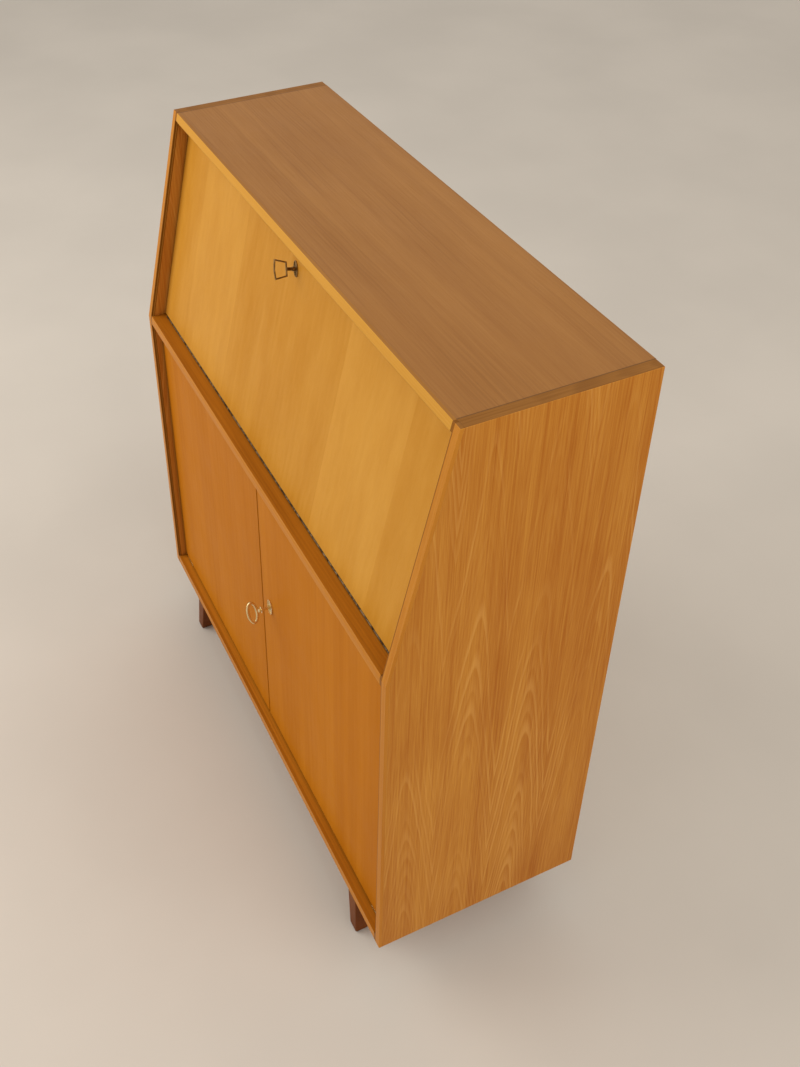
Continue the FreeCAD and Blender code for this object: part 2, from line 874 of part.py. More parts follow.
def hinge_leaf(turn, low, high):
    """A leaf between two heights, with its knuckles on short tabs."""
    spans = knuckle_spans(turn)
    limit = max(abs(x) for span in knuckle_spans(0) + knuckle_spans(1) for x in span)
    plate_y = hinge_y + knuckle_radius + bury
    solids = [box(-limit, limit, plate_y, hinge_y + leaf_depth, low, high)]
    for x0, x1 in spans:
        solids.append(cylinder((x0, hinge_y, hinge_z), (1, 0, 0), knuckle_radius, x1 - x0))
        solids.append(box(x0, x1, hinge_y, plate_y + bury, low, high))
    bore = cylinder((-half_width, hinge_y, hinge_z), (1, 0, 0), hinge_pin_radius + fit, desk_width)
    return cut(fused(*solids), [bore])


def piano_hinge_shelf_leaf():
    leaf = hinge_leaf(0, shelf_top, shelf_top + leaf_thickness)
    return cut(leaf, screw_holes(shelf_leaf_screw_places(), (0, 0, -1), *leaf_screw))


def piano_hinge_flap_leaf():
    leaf = hinge_leaf(1, flap_edge - leaf_thickness, flap_edge)
    return cut(leaf, screw_holes(flap_leaf_screw_places(), (0, 0, 1), *leaf_screw))


def piano_hinge_pin():
    limit = knuckle_spans(0)[0][0]
    return cylinder((limit, hinge_y, hinge_z), (1, 0, 0), hinge_pin_radius, -2 * limit)


# ================================================================ stays
def stay_rod_frame(shape):
    """Places a rod built along +Y from its pivot at the origin in the closed position."""
    radius, angle = stay_circle()
    turn = math.degrees(angle) / 2 + stay_guide_angle / 2 - 90
    placed = shape.copy()
    placed.rotate(Vector(0, 0, 0), Vector(1, 0, 0), turn)
    y = hinge_y + radius * math.cos(angle)
    z = hinge_z + radius * math.sin(angle)
    placed.translate(Vector(inner_x - stay_inset, y, z))
    return placed


def stay_reach():
    """Distance from pivot to guide with the flap open."""
    radius, angle = stay_circle()
    open_angle = angle + math.pi / 2 + lean
    return 2 * radius * math.sin((open_angle - math.radians(stay_guide_angle)) / 2)


def stay_closed_reach():
    radius, angle = stay_circle()
    return 2 * radius * math.sin((angle - math.radians(stay_guide_angle)) / 2)


def stay_rod():
    half = rod_thickness / 2
    length = stay_reach() + guide_length / 2 + clear
    bar = box(-half, half, 0, length, -rod_height / 2, rod_height / 2)
    eye = cylinder((-half, 0, 0), (1, 0, 0), rod_height / 2 + rod_eye_rim, rod_thickness)
    stop_length, stop_out, stop_up = rod_stop
    wide = half + stop_out
    high = rod_height / 2 + stop_up
    stop = box(-wide, wide, length, length + stop_length, -high, high)
    hole = cylinder((-half - clear, 0, 0), (1, 0, 0), stay_pin_radius + fit, rod_thickness + 2 * clear)
    return stay_rod_frame(cut(fused(bar, eye, stop), [hole]))


def stay_guide():
    """A swivelling eye: the rod slides through its slot, and its hub turns on the stud."""
    at = stay_closed_reach()
    half = guide_thickness / 2
    eye = box(-half, half, at - guide_length / 2, at + guide_length / 2, -guide_height / 2, guide_height / 2)
    hub_length = stay_inset - half - stay_plate - hub_gap
    hub = cylinder((half - bury, at, 0), (1, 0, 0), guide_hub_radius, hub_length + bury)
    slot_x = rod_thickness / 2 + slip
    slot_z = rod_height / 2 + slip
    slot = box(-slot_x, slot_x, at - guide_length, at + guide_length, -slot_z, slot_z)
    bore = cylinder((half - bury - fit, at, 0), (1, 0, 0), stud_radius + fit, stay_inset)
    return stay_rod_frame(cut(fused(eye, hub), [slot, bore]))


def stay_stud():
    """A round plate on the side with the stud that carries the guide."""
    y, z = stay_guide_centre()
    plate = cylinder((inner_x - stay_plate, y, z), (1, 0, 0), stud_plate_radius, stay_plate)
    length = stay_inset - guide_thickness / 2 - slip
    stud = cylinder((inner_x - length, y, z), (1, 0, 0), stud_radius, length - stay_plate / 2)
    return cut(fused(plate, stud), screw_holes(stay_plate_screw_places(), (1, 0, 0), *stay_screw))


def stay_bracket():
    """A foot on the flap's inner face with an ear that carries the rod's pin."""
    v, w = stay_pivot_on_flap()
    rod_x = inner_x - stay_inset
    ear_x = rod_x - rod_side_gap
    back_x = ear_x - stay_plate
    foot_x = ear_x - bracket_foot_width
    foot_high = bracket_half_height
    foot = box(foot_x, ear_x, flap_board, flap_board + stay_plate, w - foot_high, w + foot_high)
    ear_high = bracket_ear_half_height
    ear_end = v + rod_height / 2 + rod_eye_rim
    ear = box(back_x, ear_x, flap_board, ear_end, w - ear_high, w + ear_high)
    past_rod = rod_x + rod_thickness / 2 + slip
    pin = cylinder((back_x, v, w), (1, 0, 0), stay_pin_radius, past_rod + bury - back_x)
    head = cylinder((past_rod, v, w), (1, 0, 0), *stay_pin_head)
    holes = screw_holes(stay_bracket_screw_places(), (0, -1, 0), *stay_screw)
    return tilted(cut(fused(foot, ear, pin, head), holes))


# ================================================================ doors
def pivot_plate_body(face, into, grow=0.0):
    """The right-hand plate let into a board from its face, upwards (1) or downwards (-1)."""
    length, width, thickness = pivot_plate
    x1 = pivot_x + pivot_plate_past_pin
    z0, z1 = sorted((face, face + into * (thickness + grow)))
    half = width / 2 + grow
    return box(x1 - length - grow, x1 + grow, pivot_y - half, pivot_y + half, z0, z1)


def carcass_pivot(face, into):
    """A plate let into the shelf or the bottom, with its pin and collar."""
    away = -into
    start = (pivot_x, pivot_y, face - away * bury)
    pin = cylinder(start, (0, 0, away), pivot_pin_radius, door_gap + pivot_pin_length + bury)
    collar = cylinder(start, (0, 0, away), pivot_collar_radius, door_gap - 2 * fit + bury)
    return fused(pivot_plate_body(face, into), pin, collar)


def carcass_pivots():
    return Part.makeCompound(both_sides([carcass_pivot(shelf_under, 1), carcass_pivot(bottom_top, -1)]))


def door_pivot(face, into):
    """The plate in the door's edge that the pin turns in."""
    bore = cylinder((pivot_x, pivot_y, face - board), (0, 0, 1), pivot_pin_radius + fit, 2 * board)
    return cut(pivot_plate_body(face, into), [bore])


def door_pivots():
    return [door_pivot(door_high, -1), door_pivot(door_low, 1)]


def plain_door():
    """The right-hand door without its lock."""
    blank = box(door_inner, door_outer, door_front, door_back, door_low, door_high)
    face = [lambda point: point.y < door_front + fit]
    panel = eased(blank, edge_round, lambda edge: shared_faces(edge, face) == 1)
    tools = [pivot_plate_body(door_high, -1, fit), pivot_plate_body(door_low, 1, fit)]
    deep = pivot_pin_length + clear
    for low in (door_high - deep, door_low - clear):
        tools.append(cylinder((pivot_x, pivot_y, low), (0, 0, 1), pivot_pin_radius + slip, deep + clear))
    return cut(panel, tools)


def door_right():
    case = on_door(case_body(door_key_from_edge, door_board, fit))
    return cut(plain_door(), [case, at_door_keyhole(key_swept_hole(door_board))])


def door_left():
    return cut(mirrored(plain_door()), [door_strike_recess(), door_strike_pocket()])


# ---------------------------------------------------------------- bolt that holds the left-hand door
def surface_bolt_axis():
    return -door_inner - surface_bolt_from_edge, door_back + surface_bolt_from_face


def surface_bolt():
    x, y = surface_bolt_axis()
    low = door_high - clear - surface_bolt_length
    rod = cylinder((x, y, low), (0, 0, 1), surface_bolt_radius, surface_bolt_length)
    knob = cylinder((x, y, low + surface_bolt_knob_from_end), (0, 1, 0), *surface_bolt_knob)
    return fused(rod, knob)


def surface_bolt_hole():
    x, y = surface_bolt_axis()
    radius = surface_bolt_radius + slip
    return cylinder((x, y, shelf_under - clear), (0, 0, 1), radius, surface_bolt_travel + clear)


def surface_bolt_guide():
    """A plate on the door's inner face with two bridges over the bolt."""
    x, y = surface_bolt_axis()
    half_plate, height, thickness = guide_plate
    high = door_high - guide_plate_below_top
    low = high - height
    plate = box(x - half_plate, x + half_plate, door_back, door_back + thickness, low, high)
    reach = surface_bolt_radius + bridge_rim
    bridges = [
        box(x - reach, x + reach, door_back + bury, y + reach, z, z + bridge_height)
        for z in (high - bridge_end_margin - bridge_height, low + bridge_end_margin)
    ]
    bore = cylinder((x, y, low - clear), (0, 0, 1), surface_bolt_radius + slip, height + 2 * clear)
    return cut(fused(plate, *bridges), [bore])


# ================================================================ legs
def leg(foot, head):
    """A square leg that tapers to its foot, between the plate above and the glide below."""
    def square(centre, size, z):
        x, y = centre
        half = size / 2
        corners = [Vector(x + sx * half, y + sy * half, z) for sx, sy in ((-1, -1), (1, -1), (1, 1), (-1, 1))]
        return Part.makePolygon(corners + corners[:1])

    high = bottom_under - leg_plate_thickness
    ends = [square(foot, foot_size, glide_thickness), square(head, leg_top_size, high)]
    blank = Part.makeLoft(ends, True, True)
    body = eased(blank, leg_round, lambda edge: edge.BoundBox.ZLength > leg_top_size)
    start = (*head, high - leg_stud_length - clear)
    hole = cylinder(start, (0, 0, 1), leg_stud_radius + fit, leg_stud_length + 2 * clear)
    return cut(body, [hole])


def leg_plates():
    """Square plates under the bottom panel, each with the stud that its leg is screwed on to."""
    high = bottom_under
    half = leg_plate_size / 2
    plates = []
    for _, (x, y) in leg_centres().values():
        plate = box(x - half, x + half, y - half, y + half, high - leg_plate_thickness, high)
        low = high - leg_plate_thickness - leg_stud_length
        stud = cylinder((x, y, low), (0, 0, 1), leg_stud_radius, leg_stud_length + bury)
        plates.append(cut(fused(plate, stud), screw_holes(leg_plate_screw_places(), (0, 0, 1), *leg_screw)))
    return Part.makeCompound(plates)


def leg_glides():
    feet = [foot for foot, _ in leg_centres().values()]
    return Part.makeCompound([cylinder((*foot, 0), (0, 0, 1), glide_radius, glide_thickness) for foot in feet])


# ================================================================ the desk
def carcass_nodes():
    side = side_panel()
    edge = side_lipping()
    end = pigeonhole_end()
    nodes = {
        "side_panel_right": side,
        "side_panel_left": mirrored(side),
        "side_lipping_right": edge,
        "side_lipping_left": mirrored(edge),
        "top_panel": top_panel(),
        "top_lipping": top_lipping(),
        "writing_shelf": writing_shelf(),
        "shelf_lipping": shelf_lipping(),
        "bottom_panel": bottom_panel(),
        "bottom_lipping": bottom_lipping(),
        "back_panel": back_panel(),
        "carcass_dowels": Part.makeCompound(dowels()),
        "inner_floor": inner_floor(),
        "flap_stop_strip": flap_stop_strip(),
        "pigeonhole_end_right": end,
        "pigeonhole_end_left": mirrored(end),
        "pigeonhole_shelf": pigeonhole_board(drawer_opening_height),
        "pigeonhole_top": pigeonhole_board(unit_height - unit_board),
        "pigeonhole_dividers": pigeonhole_dividers(),
        "cabinet_shelf": loose_shelf(),
        "cabinet_shelf_pins": Part.makeCompound(shelf_pins()),
        "flap_strike_plate": flap_strike_plate(),
        "piano_hinge_shelf_leaf": piano_hinge_shelf_leaf(),
        "piano_hinge_pin": piano_hinge_pin(),
        "stay_studs": Part.makeCompound(both_sides([stay_stud()])),
        "carcass_door_pivots": carcass_pivots(),
        "leg_plates": leg_plates(),
        "leg_glides": leg_glides(),
        "carcass_screws": carcass_screws(),
    }
    for place, (foot, head) in leg_centres().items():
        nodes["leg_" + place] = leg(foot, head)
    return nodes


def carcass_screws():
    """Screws of the back panel, the hinge's shelf leaf, the stay plates and the leg plates."""
    group = screws(back_screw_places(), (0, -1, 0), *board_screw)
    group += screws(shelf_leaf_screw_places(), (0, 0, -1), *leaf_screw)
    group += both_sides(screws(stay_plate_screw_places(), (1, 0, 0), *stay_screw))
    group += screws(leg_plate_screw_places(), (0, 0, 1), *leg_screw)
    return Part.makeCompound(group)


def flap_screws():
    """Screws of the hinge's flap leaf and of the stay brackets."""
    group = screws(flap_leaf_screw_places(), (0, 0, 1), *leaf_screw)
    group += [tilted(one) for one in both_sides(screws(stay_bracket_screw_places(), (0, -1, 0), *stay_screw))]
    return Part.makeCompound(group)


def flap_nodes():
    return {
        "flap_panel": flap_panel(),
        "piano_hinge_flap_leaf": piano_hinge_flap_leaf(),
        "flap_screws": flap_screws(),
        "stay_brackets": Part.makeCompound(both_sides([stay_bracket()])),
        "flap_lock_case": on_flap(lock_case(flap_key_from_edge, flap_board)),
        "flap_lock_bolt": on_flap(lock_bolt(flap_key_from_edge, flap_board, flap_bolt_travel)),
        "flap_escutcheon": on_flap(turned(escutcheon(*flap_escutcheon))),
        "flap_key": on_flap(turned(flap_key())),
    }


def door_nodes():
    pivots = door_pivots()
    return {
        "door_right": door_right(),
        "door_left": door_left(),
        "door_right_pivot_plates": Part.makeCompound(pivots),
        "door_left_pivot_plates": Part.makeCompound([mirrored(plate) for plate in pivots]),
        "door_lock_case": on_door(lock_case(door_key_from_edge, door_board)),
        "door_lock_bolt": on_door(lock_bolt(door_key_from_edge, door_board, door_bolt_travel)),
        "door_escutcheon": at_door_keyhole(escutcheon(*door_escutcheon)),
        "door_key": at_door_keyhole(turned(door_key())),
        "door_strike_plate": door_strike_plate(),
        "left_door_bolt": surface_bolt(),
        "left_door_bolt_guide": surface_bolt_guide(),
    }


def sided_nodes():
    """Moving pieces that the desk has once on each side."""
    nodes = {}
    for name, shape in (
        ("stay_rod", stay_rod()),
        ("stay_guide", stay_guide()),
        ("small_drawer", drawer_box()),
        ("small_drawer_knob", drawer_knob()),
    ):
        nodes[name + "_right"] = shape
        nodes[name + "_left"] = mirrored(shape)
    return nodes


def main():
    os.makedirs("parts", exist_ok=True)
    nodes = {**carcass_nodes(), **flap_nodes(), **door_nodes(), **sided_nodes()}
    for name, shape in nodes.items():
        shape.exportStep("parts/" + name + ".step")
    print(len(nodes), "nodes")


main()
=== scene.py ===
"""Looks of the secretary desk: varnished veneers, solid lippings, metal fittings, a pale studio, a camera."""
import json
import math
from collections import namedtuple

import bpy
from mathutils import Matrix, Vector


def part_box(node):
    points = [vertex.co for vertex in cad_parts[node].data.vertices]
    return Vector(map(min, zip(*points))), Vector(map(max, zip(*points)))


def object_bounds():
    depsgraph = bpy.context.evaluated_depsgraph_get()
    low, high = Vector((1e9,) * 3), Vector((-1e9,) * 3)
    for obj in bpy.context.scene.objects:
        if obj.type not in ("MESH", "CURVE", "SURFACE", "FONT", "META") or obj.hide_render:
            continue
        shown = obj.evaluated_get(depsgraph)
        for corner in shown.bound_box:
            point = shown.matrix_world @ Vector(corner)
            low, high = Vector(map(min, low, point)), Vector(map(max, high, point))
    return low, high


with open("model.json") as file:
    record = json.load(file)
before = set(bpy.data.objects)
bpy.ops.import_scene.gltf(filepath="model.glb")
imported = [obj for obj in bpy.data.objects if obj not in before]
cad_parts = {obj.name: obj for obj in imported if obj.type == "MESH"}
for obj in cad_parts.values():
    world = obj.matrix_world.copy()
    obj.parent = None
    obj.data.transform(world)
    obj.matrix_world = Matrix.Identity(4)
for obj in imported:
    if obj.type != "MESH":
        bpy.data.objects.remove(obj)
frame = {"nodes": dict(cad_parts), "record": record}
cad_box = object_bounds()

X, Y, Z = 0, 1, 2

# Lengths are in metres, angles in degrees and light in watts.

# ---------------------------------------------------------------- camera
camera_place = (1.3261, -0.6220, 1.8826)
camera_azimuth = 65.65
camera_down = 36.48
camera_roll = -0.79
camera_lens = 40.47             # in millimetres, as the sensor is
camera_shift = (0.0674, -0.1317)
sensor_long_side = 36.0

# ---------------------------------------------------------------- studio
sky_tone = (255, 250, 242)
sky_strength = 0.70
view_transform = "Standard"

Light = namedtuple("Light", "place aim size power colour")
window_light = Light(place=(-1.7, -2.4, 2.3), aim=(0, 0, 0.7), size=(2.4, 2.2), power=62.0,
                     colour=(1.0, 0.965, 0.91))
fill_light = Light(place=(2.6, 0.8, 2.9), aim=(0, 0, 0.9), size=(2.4, 2.4), power=40.0,
                   colour=(1.0, 0.97, 0.93))

# ---------------------------------------------------------------- masks and nodes
mask_samples = 4
edge_facing = (0.995, 0.80)     # where an edge starts and is full: cosine of the rounded to the true normal
corner_openness = (0.75, 0.20)  # where a corner's painted shade starts and is full: share of open view
level_facing = (0.85, 0.95)     # where a face counts as level: upright part of its normal
noise_middle = 0.5

# The Mix node's sockets go by number, because the same names are on several of them.
MixSockets = namedtuple("MixSockets", "kind first second result")
colours = MixSockets("RGBA", first=6, second=7, result=2)
places = MixSockets("VECTOR", first=4, second=5, result=1)

# ---------------------------------------------------------------- wood
front_step = 0.004              # width of the step round the desk's openings; painted shade covers it on the side lippings
top_joint_width = 0.0021        # dark line between the top panel and its edges
step_shade_width = 0.0018        # width of the painted shade at the step, on the inner edge of each side's lipping
joint_and_shade_fade = 3                  # a dark line, both the top panel's edge line and the painted step shade, is darkest from a third of its width
pore_and_shade_darkness = 0.40            # colour of the pores, of the top panel's edge line and of the painted shade at the steps and in corners, as a share of the wood's dark tone
worn_edge = 0.0016              # radius of an edge where its wear is drawn
soft_edge = 0.0007              # radius of an edge where it catches the light
corner_shade_reach = 0.012              # how far the painted shade reaches out of a corner
relief_height = 0.0004
fine_wander = 1 / 6             # the fine sway in a growth line's wandering, as a share of the wide sway
line_rise = (0.0, 0.22)         # where a growth line rises and fades, across one ring
line_fade = (0.28, 1.0)
faintest_line = 0.12
ring_strengths = (0.15, 0.95)   # range of the chance number that sets a ring's strength
patch_range = (0.36, 0.60)      # ranges of the noises over which their marks come in
band_range = (0.30, 0.70)
pore_range = (0.62, 0.74)
wear_range = (0.40, 0.68)

# A noise's scale is in features to the metre: along the grain and across it, or on X, Y and Z where there is
# no grain.  Its step is added to the material's seed, so that no two noises of a material are alike.
Noise = namedtuple("Noise", "scale detail rough step")
sway = Noise((2.2, 9.0), detail=2.0, rough=0.5, step=1)
fine_sway = Noise((11.0, 70.0), detail=2.0, rough=0.5, step=2)
patches = Noise((2.4, 9.0), detail=3.0, rough=0.6, step=3)
bands = Noise((0.9, 26.0), detail=3.0, rough=0.6, step=4)
clouds = Noise((3.0, 3.0), detail=3.0, rough=0.5, step=5)
fibres = Noise((14.0, 620.0), detail=3.0, rough=0.65, step=6)
pores = Noise((90.0, 1500.0), detail=2.0, rough=0.5, step=7)
worn_places = Noise((45.0, 45.0), detail=3.0, rough=0.6, step=8)
smudges = Noise((11.0, 11.0), detail=4.0, rough=0.6, step=9)
plain_streaks = Noise((2.6, 150.0), detail=3.0, rough=0.6, step=10)
fine_streaks = plain_streaks._replace(scale=(2.6, 330.0))

plain_look = {
    "figure": 0.30,             # width of one figure of arches, mirrored to the next one
    "figure_start": 0.0,
    "rise": 0.012,              # width of an arch for its height
    "tip": 0.006,               # roundness of the arches' tips
    "spacing": 0.006,           # from one growth line to the next
    "wander": 0.024,            # how far a growth line strays from side to side
    "leaf": 0.47,               # width of one sheet of veneer
    "streaks": plain_streaks,
    "leaf_contrast": 0.20,      # strength of each mark in the colour
    "line_strength": 0.4,
    "band_strength": 0.5,
    "cloud_strength": 0.5,
    "streak_strength": 0.4,
    "fibre_strength": 0.5,
    "pore_strength": 0.2,
    "wear_strength": 0.35,
    # painted shade in the corners, from ambient occlusion
    "corner_shade_strength": 0.55,
    # dark line strength: a real line at the top panel's edges, painted shade at the side lippings' step
    "joint_and_shade_strength": 0.75,
    "line_relief": 0.25,        # strength of each mark in the relief
    "fibre_relief": 0.7,
    "pore_relief": 0.6,
    "bump": 0.18,
    "roughness": 0.42,
    "smudge_roughness": 0.22,   # how much each mark changes the roughness
    "fibre_roughness": 0.18,
    "wear_roughness": 0.15,
    "varnish": 0.03,
    "varnish_roughness": 0.22,
    "shine": 0.06,
}

# ---------------------------------------------------------------- metal
metal_worn_edge = 0.0006
metal_soft_edge = 0.0003
metal_smudges = Noise((160.0, 160.0, 160.0), detail=4.0, rough=0.6, step=0)
metal_spots = Noise((620.0, 620.0, 620.0), detail=3.0, rough=0.6, step=1)
metal_scratches = Noise((400.0, 3200.0, 900.0), detail=2.0, rough=0.5, step=2)
smudge_range = (0.35, 0.65)
edge_polish = 0.7               # share of the tarnish that is rubbed off an edge
tarnish_roughness = 0.22
scratch_roughness = 0.20
spot_tarnish = 0.5              # tarnish of the spots, as a share of the smudges'
metal_relief = 0.5              # strength of the scratches and of the spots in the relief
metal_bump = 0.10
metal_relief_height = 0.0001

# ---------------------------------------------------------------- plastic
plastic_worn_edge = 0.0008
plastic_soft_edge = 0.0003
plastic_grain = Noise((1400.0, 1400.0, 1400.0), detail=2.0, rough=0.5, step=0)
plastic_dust = Noise((90.0, 90.0, 90.0), detail=3.0, rough=0.6, step=1)
dust_range = (0.45, 0.75)
dust_strength = 0.35
dust_tone = (92, 88, 82)
scuff_range = (0.4, 0.7)
scuff_strength = 0.4
scuff_tone = (120, 114, 106)
plastic_roughness = 0.45
plastic_grain_roughness = 0.2
plastic_bump = 0.2
plastic_relief_height = 0.0001

# ---------------------------------------------------------------- floor
floor_size = 14.0
floor_tone = (206, 198, 188)
floor_shade = 0.93              # the darker tone of its mottling, as a share of its own
floor_seed = 89.0
floor_mottle = Noise((1.7, 1.7, 1.7), detail=4.0, rough=0.5, step=0)
floor_grain = Noise((260.0, 260.0, 260.0), detail=2.0, rough=0.5, step=8)
mottle_range = (0.3, 0.7)
floor_roughness = 0.6
floor_grain_roughness = 0.1
floor_bump = 0.05
floor_relief_height = 0.0005


# ================================================================ helpers
def tone(red, green, blue):
    """A shader colour from the usual 0 to 255 values, by the sRGB curve."""
    def linear(value):
        value = value / 255
        return value / 12.92 if value <= 0.04045 else ((value + 0.055) / 1.055) ** 2.4
    return linear(red), linear(green), linear(blue), 1.0


def darker(colour, share):
    """A colour at a share of its brightness."""
    return tuple(channel * share for channel in colour[:3]) + (1.0,)


def grain_scale(along, along_scale, across_scale):
    """A noise's scales on X, Y and Z, from its scales along the grain and across it."""
    values = [across_scale] * 3
    values[along] = along_scale
    return tuple(values)


class Shader:
    """One material under construction.  Inputs are plain values or other nodes' outputs."""

    def __init__(self, name):
        self.material = bpy.data.materials.new(name)
        self.material.use_nodes = True
        self.tree = self.material.node_tree
        self.tree.nodes.clear()

    def add(self, kind, inputs, **settings):
        node = self.tree.nodes.new("ShaderNode" + kind)
        for setting, value in settings.items():
            setattr(node, setting, value)
        for socket, value in inputs.items():
            if isinstance(value, bpy.types.NodeSocket):
                self.tree.links.new(value, node.inputs[socket])
            else:
                node.inputs[socket].default_value = value
        return node

    def math(self, operation, *values, clamp=False):
        return self.add("Math", dict(enumerate(values)), operation=operation, use_clamp=clamp).outputs[0]

    def mix(self, factor, first, second, of=colours):
        """A mix of two colours, or of two places."""
        inputs = {"Factor": factor, of.first: first, of.second: second}
        return self.add("Mix", inputs, data_type=of.kind).outputs[of.result]

    def spread(self, value, low, high, to_low=0.0, to_high=1.0):
        """A value carried smoothly from one range to another, and held at its ends."""
        inputs = {"Value": value, "From Min": low, "From Max": high, "To Min": to_low, "To Max": to_high}
        return self.add("MapRange", inputs, interpolation_type="SMOOTHSTEP").outputs[0]

    def swing(self, total, noise, strength, clamp=False):
        """A total, plus a noise that swings either side of its middle."""
        off_middle = self.math("SUBTRACT", noise, noise_middle)
        return self.math("MULTIPLY_ADD", off_middle, strength, total, clamp=clamp)

    def place(self):
        """The point on the piece, in metres, in the desk's frame."""
        return self.add("TexCoord", {}).outputs["Object"]

    def axes(self, place):
        return self.add("SeparateXYZ", {0: place}).outputs

    def true_normal(self):
        return self.add("NewGeometry", {}).outputs["True Normal"]

    def noise(self, place, kind, seed, along=None):
        """A noise, with the axis that the grain follows where it has one."""
        scale = kind.scale if along is None else grain_scale(along, *kind.scale)
        stretched = self.add("VectorMath", {0: place, 1: scale}, operation="MULTIPLY").outputs[0]
        inputs = {"Vector": stretched, "W": seed + kind.step, "Scale": 1.0}
        inputs.update({"Detail": kind.detail, "Roughness": kind.rough})
        return self.add("TexNoise", inputs, noise_dimensions="4D").outputs[0]

    def chance(self, number):
        """A chance value between 0 and 1 for each whole number."""
        return self.add("TexWhiteNoise", {"W": number}, noise_dimensions="1D").outputs[0]

    def rounded_normal(self, radius):
        return self.add("Bevel", {"Radius": radius}, samples=mask_samples).outputs[0]

    def edges(self, radius):
        """1 on the edges of the piece and 0 on its flat faces."""
        normals = {0: self.rounded_normal(radius), 1: self.true_normal()}
        facing = self.add("VectorMath", normals, operation="DOT_PRODUCT").outputs["Value"]
        return self.spread(facing, *edge_facing)

    def corners(self, reach):
        """1 in the corners where pieces meet and 0 on open faces, by ambient occlusion: a mask for painted
        shade.
        """
        open_share = self.add("AmbientOcclusion", {"Distance": reach}, samples=mask_samples).outputs["AO"]
        return self.spread(open_share, *corner_openness)

    def relief(self, height, strength, distance, radius):
        """The normal of a relief on softened edges."""
        inputs = {"Strength": strength, "Distance": distance, "Height": height}
        inputs["Normal"] = self.rounded_normal(radius)
        return self.add("Bump", inputs).outputs[0]

    def finish(self, base, roughness, normal, **fixed):
        inputs = {"Base Color": base, "Roughness": roughness, "Normal": normal}
        inputs.update({socket.replace("_", " "): value for socket, value in fixed.items()})
        surface = self.add("BsdfPrincipled", inputs)
        self.add("OutputMaterial", {"Surface": surface.outputs[0]})
        return self.material


# ================================================================ wood
def level_faces(s):
    """1 on faces that look up or down and 0 on upright ones."""
    return s.spread(s.math("ABSOLUTE", s.axes(s.true_normal())[Z]), *level_facing)


def grain_place(s, along, edge_along, level):
    """The point on the piece, with two axes exchanged on its level edges so that the grain follows them."""
    place = s.place()
    if edge_along is None:
        return place
    axes = s.axes(place)
    order = [X, Y, Z]
    order[along], order[edge_along] = edge_along, along
    exchanged = s.add("CombineXYZ", {axis: axes[order[axis]] for axis in (X, Y, Z)}).outputs[0]
    return s.mix(level, place, exchanged, of=places)


def growth_lines(s, place, along, across, look, seed):
    """Growth lines: arches in the middle of each figure, straight at its sides, some strong, some faint."""
    axes = s.axes(place)
    swayed = s.math("ADD", axes[across], look["figure_start"])
    swayed = s.swing(swayed, s.noise(place, sway, seed, along), look["wander"])
    swayed = s.swing(swayed, s.noise(place, fine_sway, seed, along), look["wander"] * fine_wander)
    from_middle = s.math("PINGPONG", swayed, look["figure"] / 2)
    arch = s.math("SQRT", s.math("MULTIPLY_ADD", from_middle, from_middle, look["tip"] ** 2))
    rings = s.math("DIVIDE", s.math("MULTIPLY_ADD", axes[along], look["rise"], arch), look["spacing"])
    growth = s.math("FRACT", rings)
    line = s.math("MULTIPLY", s.spread(growth, *line_rise), s.spread(growth, *line_fade, 1.0, 0.0))
    patchy = s.noise(place, patches, seed, along)
    line = s.math("MULTIPLY", line, s.spread(patchy, *patch_range, faintest_line, 1.0))
    strength = s.spread(s.chance(s.math("FLOOR", rings)), *ring_strengths, faintest_line, 1.0)
    return s.math("MULTIPLY", line, strength)


def colour_depth(s, place, along, across, look, seed, fibre):
    """How dark the wood is, from 0 to 1: bands, sheets of veneer, clouds, streaks and fibres."""
    leaf_number = s.math("FLOOR", s.math("DIVIDE", s.axes(place)[across], look["leaf"]))
    leaf_tone = s.chance(s.math("ADD", leaf_number, seed))
    banded = s.spread(s.noise(place, bands, seed, along), *band_range)
    depth = s.swing(noise_middle, banded, look["band_strength"])
    depth = s.swing(depth, leaf_tone, look["leaf_contrast"])
    depth = s.swing(depth, s.noise(place, clouds, seed, along), look["cloud_strength"])
    depth = s.swing(depth, s.noise(place, look["streaks"], seed, along), look["streak_strength"])
    return s.swing(depth, fibre, look["fibre_strength"], clamp=True)


def joint_and_shade_line(s, axis, reach, width):
    """A thin dark line inside a distance from the desk's middle, or outside it when the width is negative.
    It draws the top panel's edge line and the painted shade at the side lippings' step.
    """
    from_middle = s.math("ABSOLUTE", s.axes(s.place())[axis])
    return s.spread(from_middle, reach - width, reach - width / joint_and_shade_fade)


